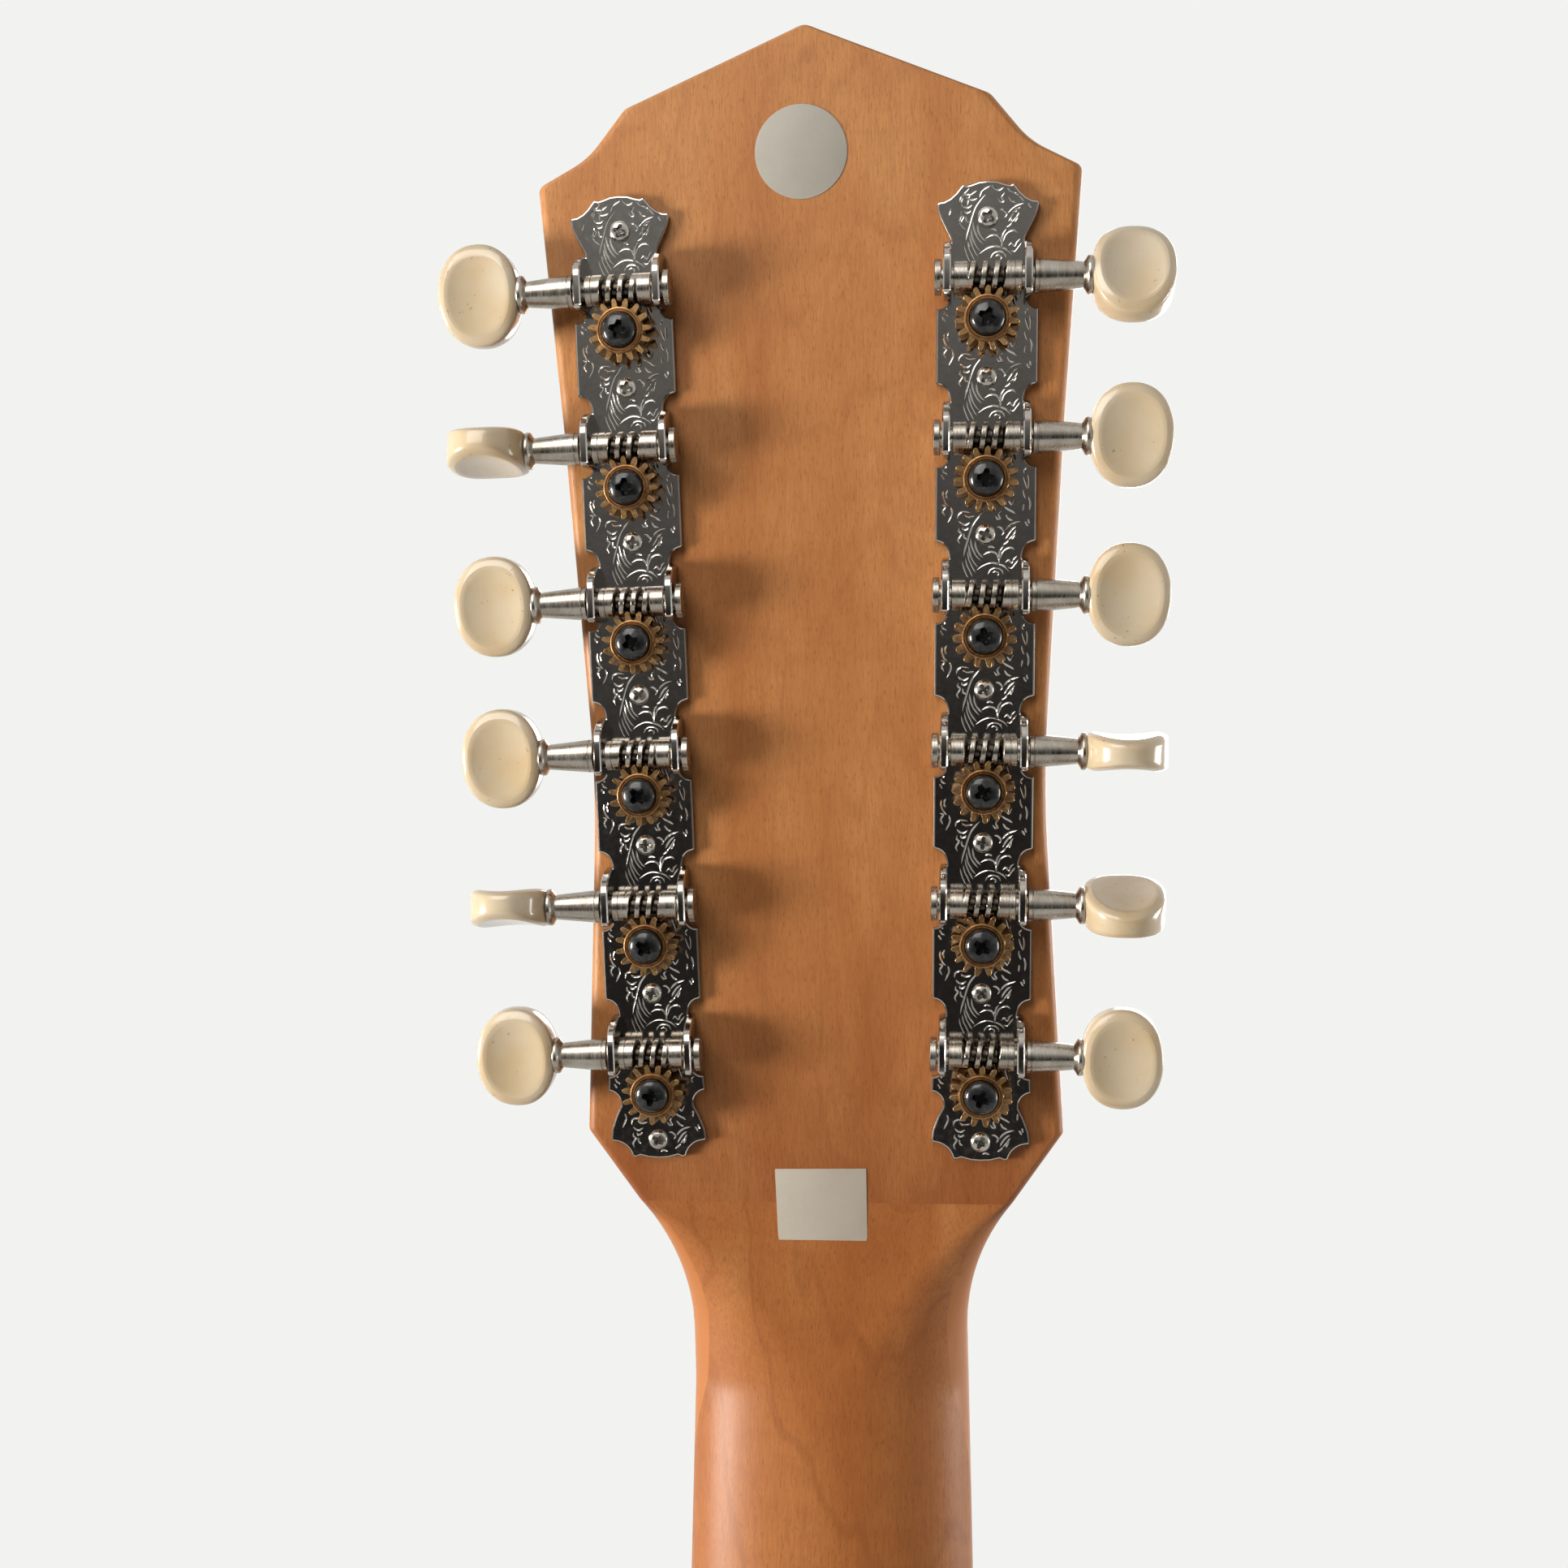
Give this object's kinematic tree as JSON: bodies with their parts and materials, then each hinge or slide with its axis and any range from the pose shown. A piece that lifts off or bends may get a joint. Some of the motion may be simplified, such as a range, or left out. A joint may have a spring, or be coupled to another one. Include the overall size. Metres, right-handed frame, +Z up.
{
  "type": "twelve-string acoustic guitar",
  "caption": "Flat-top acoustic guitar with paired strings, a slim maple headstock and open-gear strip tuners whose worm keys turn the geared string posts.",
  "frame": {"origin": "middle of the headstock's flare just above the nut, half-way through its thickness, where a hanger's two arms carry the guitar", "axes": "+Z up the neck towards the headstock, +Y out of the back, +X to the treble side, with the guitar upright"},
  "size_m": [0.397, 0.1359, 1.0924],
  "materials": {
    "maple": "satin, honey amber",
    "dark_veneer": "gloss, near black",
    "rosewood": "open-grained satin, dark brown",
    "spruce": "gloss, amber",
    "mahogany": "gloss, red brown",
    "brace_spruce": "bare sanded wood",
    "bone": "smooth, off-white",
    "nickel": "polished, engraved",
    "brass": "dull machined",
    "cream_plastic": "aged cream, gloss",
    "steel": "plated",
    "string_metal": "plain and wound wire",
    "guard_plastic": "gloss, near black"
  },
  "bodies": {
    "guitar": {"back": "mahogany", "back_brace_1": "brace_spruce", "back_brace_2": "brace_spruce", "back_brace_3": "brace_spruce", "bridge": "rosewood", "bridge_plate": "maple", "fingerboard": "rosewood", "head_veneer": "dark_veneer", "headstock": "maple", "neck": "maple", "neck_block": "mahogany", "nut": "bone", "pickguard": "guard_plastic", "saddle": "bone", "side_bass": "mahogany", "side_treble": "mahogany", "soundboard": "spruce", "strap_button": "steel", "string_01": "string_metal", "string_02": "string_metal", "string_03": "string_metal", "string_04": "string_metal", "string_05": "string_metal", "string_06": "string_metal", "string_07": "string_metal", "string_08": "string_metal", "string_09": "string_metal", "string_10": "string_metal", "string_11": "string_metal", "string_12": "string_metal", "tail_block": "mahogany", "top_crossbar": "brace_spruce", "truss_rod": "steel", "tuner_plate_bass": "nickel", "tuner_plate_treble": "nickel", "x_brace": "brace_spruce"},
    "bass_key_1": {"tuner_key_bass_1": "cream_plastic"},
    "bass_gear_1": {"tuner_gear_bass_1": "brass"},
    "bass_key_2": {"tuner_key_bass_2": "cream_plastic"},
    "bass_gear_2": {"tuner_gear_bass_2": "brass"},
    "bass_key_3": {"tuner_key_bass_3": "cream_plastic"},
    "bass_gear_3": {"tuner_gear_bass_3": "brass"},
    "bass_key_4": {"tuner_key_bass_4": "cream_plastic"},
    "bass_gear_4": {"tuner_gear_bass_4": "brass"},
    "bass_key_5": {"tuner_key_bass_5": "cream_plastic"},
    "bass_gear_5": {"tuner_gear_bass_5": "brass"},
    "bass_key_6": {"tuner_key_bass_6": "cream_plastic"},
    "bass_gear_6": {"tuner_gear_bass_6": "brass"},
    "treble_key_1": {"tuner_key_treble_1": "cream_plastic"},
    "treble_gear_1": {"tuner_gear_treble_1": "brass"},
    "treble_key_2": {"tuner_key_treble_2": "cream_plastic"},
    "treble_gear_2": {"tuner_gear_treble_2": "brass"},
    "treble_key_3": {"tuner_key_treble_3": "cream_plastic"},
    "treble_gear_3": {"tuner_gear_treble_3": "brass"},
    "treble_key_4": {"tuner_key_treble_4": "cream_plastic"},
    "treble_gear_4": {"tuner_gear_treble_4": "brass"},
    "treble_key_5": {"tuner_key_treble_5": "cream_plastic"},
    "treble_gear_5": {"tuner_gear_treble_5": "brass"},
    "treble_key_6": {"tuner_key_treble_6": "cream_plastic"},
    "treble_gear_6": {"tuner_gear_treble_6": "brass"}
  },
  "joints": [
    {"name": "key_turn_bass_1", "type": "hinge", "parent": "guitar", "child": "bass_key_1", "pos_m": [-0.02877, 0.05003, 0.15272], "axis": [-0.9998, -0.0042, -0.0169], "continuous": true},
    {"name": "gear_turn_bass_1", "type": "hinge", "parent": "guitar", "child": "bass_gear_1", "pos_m": [-0.02865, 0.04446, 0.14731], "axis": [0, 0.9703, -0.2419], "continuous": true},
    {"name": "key_turn_bass_2", "type": "hinge", "parent": "guitar", "child": "bass_key_2", "pos_m": [-0.02833, 0.04399, 0.12847], "axis": [-0.9998, -0.0042, -0.0169], "continuous": true},
    {"name": "gear_turn_bass_2", "type": "hinge", "parent": "guitar", "child": "bass_gear_2", "pos_m": [-0.02822, 0.03841, 0.12306], "axis": [0, 0.9703, -0.2419], "continuous": true},
    {"name": "key_turn_bass_3", "type": "hinge", "parent": "guitar", "child": "bass_key_3", "pos_m": [-0.0279, 0.03794, 0.10422], "axis": [-0.9998, -0.0042, -0.0169], "continuous": true},
    {"name": "gear_turn_bass_3", "type": "hinge", "parent": "guitar", "child": "bass_gear_3", "pos_m": [-0.02778, 0.03236, 0.0988], "axis": [0, 0.9703, -0.2419], "continuous": true},
    {"name": "key_turn_bass_4", "type": "hinge", "parent": "guitar", "child": "bass_key_4", "pos_m": [-0.02746, 0.03189, 0.07996], "axis": [-0.9998, -0.0042, -0.0169], "continuous": true},
    {"name": "gear_turn_bass_4", "type": "hinge", "parent": "guitar", "child": "bass_gear_4", "pos_m": [-0.02735, 0.02632, 0.07455], "axis": [0, 0.9703, -0.2419], "continuous": true},
    {"name": "key_turn_bass_5", "type": "hinge", "parent": "guitar", "child": "bass_key_5", "pos_m": [-0.02702, 0.02584, 0.05571], "axis": [-0.9998, -0.0042, -0.0169], "continuous": true},
    {"name": "gear_turn_bass_5", "type": "hinge", "parent": "guitar", "child": "bass_gear_5", "pos_m": [-0.02691, 0.02027, 0.0503], "axis": [0, 0.9703, -0.2419], "continuous": true},
    {"name": "key_turn_bass_6", "type": "hinge", "parent": "guitar", "child": "bass_key_6", "pos_m": [-0.02659, 0.0198, 0.03145], "axis": [-0.9998, -0.0042, -0.0169], "continuous": true},
    {"name": "gear_turn_bass_6", "type": "hinge", "parent": "guitar", "child": "bass_gear_6", "pos_m": [-0.02647, 0.01422, 0.02604], "axis": [0, 0.9703, -0.2419], "continuous": true},
    {"name": "key_turn_treble_1", "type": "hinge", "parent": "guitar", "child": "treble_key_1", "pos_m": [0.03017, 0.05003, 0.15272], "axis": [0.9998, -0.0042, -0.0169], "continuous": true},
    {"name": "gear_turn_treble_1", "type": "hinge", "parent": "guitar", "child": "treble_gear_1", "pos_m": [0.03005, 0.04446, 0.14731], "axis": [0, 0.9703, -0.2419], "continuous": true},
    {"name": "key_turn_treble_2", "type": "hinge", "parent": "guitar", "child": "treble_key_2", "pos_m": [0.02973, 0.04399, 0.12847], "axis": [0.9998, -0.0042, -0.0169], "continuous": true},
    {"name": "gear_turn_treble_2", "type": "hinge", "parent": "guitar", "child": "treble_gear_2", "pos_m": [0.02962, 0.03841, 0.12306], "axis": [0, 0.9703, -0.2419], "continuous": true},
    {"name": "key_turn_treble_3", "type": "hinge", "parent": "guitar", "child": "treble_key_3", "pos_m": [0.0293, 0.03794, 0.10422], "axis": [0.9998, -0.0042, -0.0169], "continuous": true},
    {"name": "gear_turn_treble_3", "type": "hinge", "parent": "guitar", "child": "treble_gear_3", "pos_m": [0.02918, 0.03236, 0.0988], "axis": [0, 0.9703, -0.2419], "continuous": true},
    {"name": "key_turn_treble_4", "type": "hinge", "parent": "guitar", "child": "treble_key_4", "pos_m": [0.02886, 0.03189, 0.07996], "axis": [0.9998, -0.0042, -0.0169], "continuous": true},
    {"name": "gear_turn_treble_4", "type": "hinge", "parent": "guitar", "child": "treble_gear_4", "pos_m": [0.02875, 0.02632, 0.07455], "axis": [0, 0.9703, -0.2419], "continuous": true},
    {"name": "key_turn_treble_5", "type": "hinge", "parent": "guitar", "child": "treble_key_5", "pos_m": [0.02842, 0.02584, 0.05571], "axis": [0.9998, -0.0042, -0.0169], "continuous": true},
    {"name": "gear_turn_treble_5", "type": "hinge", "parent": "guitar", "child": "treble_gear_5", "pos_m": [0.02831, 0.02027, 0.0503], "axis": [0, 0.9703, -0.2419], "continuous": true},
    {"name": "key_turn_treble_6", "type": "hinge", "parent": "guitar", "child": "treble_key_6", "pos_m": [0.02799, 0.0198, 0.03145], "axis": [0.9998, -0.0042, -0.0169], "continuous": true},
    {"name": "gear_turn_treble_6", "type": "hinge", "parent": "guitar", "child": "treble_gear_6", "pos_m": [0.02787, 0.01422, 0.02604], "axis": [0, 0.9703, -0.2419], "continuous": true}
  ],
  "couplings": [
    {"joint": "gear_turn_bass_1", "follows": "key_turn_bass_1", "ratio": -0.066667},
    {"joint": "gear_turn_bass_2", "follows": "key_turn_bass_2", "ratio": -0.066667},
    {"joint": "gear_turn_bass_3", "follows": "key_turn_bass_3", "ratio": -0.066667},
    {"joint": "gear_turn_bass_4", "follows": "key_turn_bass_4", "ratio": -0.066667},
    {"joint": "gear_turn_bass_5", "follows": "key_turn_bass_5", "ratio": -0.066667},
    {"joint": "gear_turn_bass_6", "follows": "key_turn_bass_6", "ratio": -0.066667},
    {"joint": "gear_turn_treble_1", "follows": "key_turn_treble_1", "ratio": 0.066667},
    {"joint": "gear_turn_treble_2", "follows": "key_turn_treble_2", "ratio": 0.066667},
    {"joint": "gear_turn_treble_3", "follows": "key_turn_treble_3", "ratio": 0.066667},
    {"joint": "gear_turn_treble_4", "follows": "key_turn_treble_4", "ratio": 0.066667},
    {"joint": "gear_turn_treble_5", "follows": "key_turn_treble_5", "ratio": 0.066667},
    {"joint": "gear_turn_treble_6", "follows": "key_turn_treble_6", "ratio": 0.066667}
  ]
}
